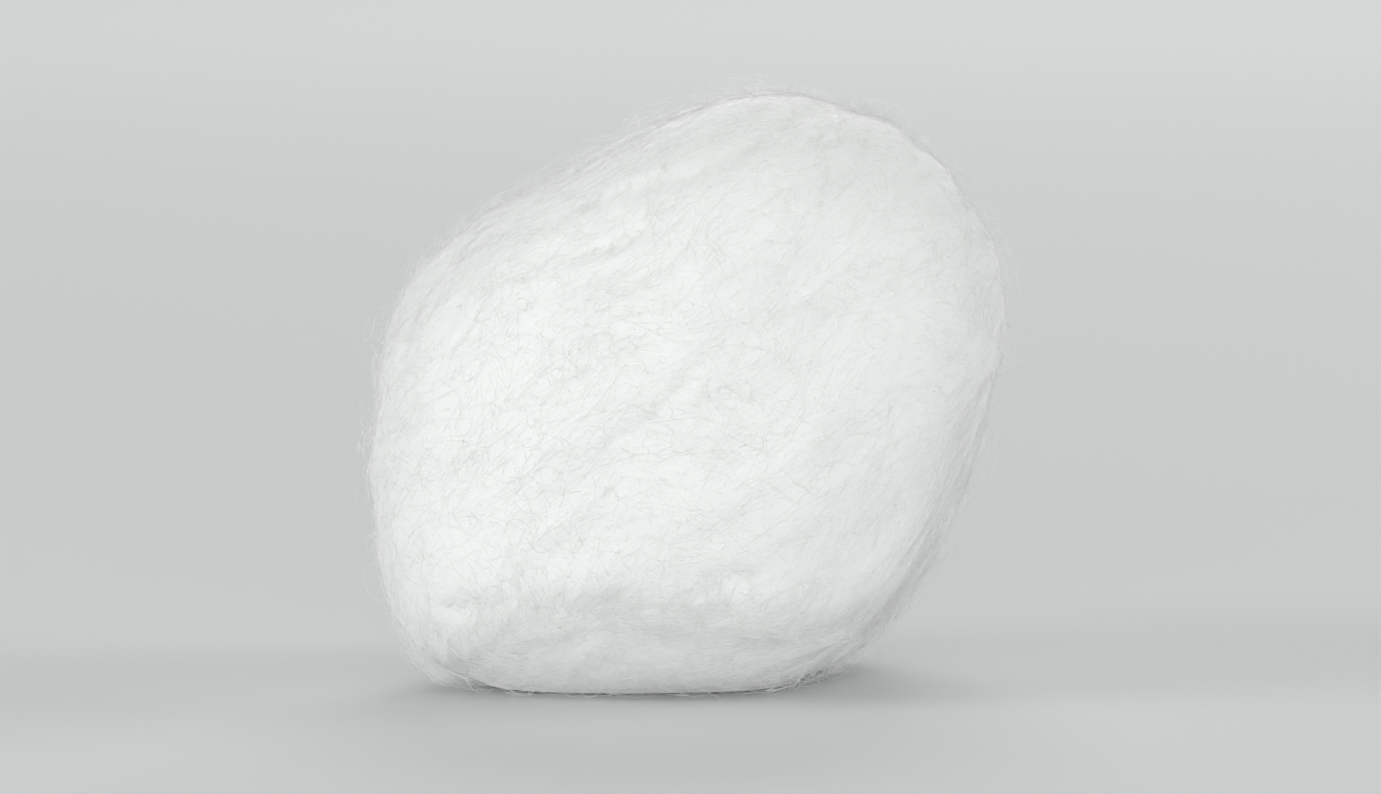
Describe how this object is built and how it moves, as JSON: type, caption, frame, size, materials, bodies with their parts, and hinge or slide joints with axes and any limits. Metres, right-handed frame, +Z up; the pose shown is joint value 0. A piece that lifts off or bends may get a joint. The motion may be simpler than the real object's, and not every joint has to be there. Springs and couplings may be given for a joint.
{
  "type": "cotton ball",
  "caption": "Soft white cotton wool ball: one rolled tuft with wound fibres, a tucked end each side, pressed flats and a flat spot underneath.",
  "frame": {"origin": "centre of the bounding box in plan, on the flat spot that the ball rests on", "axes": "+Z up; -Y is the front, as pictured; +X is the picture's right and the longest extent"},
  "size_m": [0.0342, 0.0324, 0.0317],
  "materials": {
    "cotton": "soft, matt and fibrous"
  },
  "bodies": {
    "root": {"cotton_ball": "cotton"}
  },
  "joints": []
}
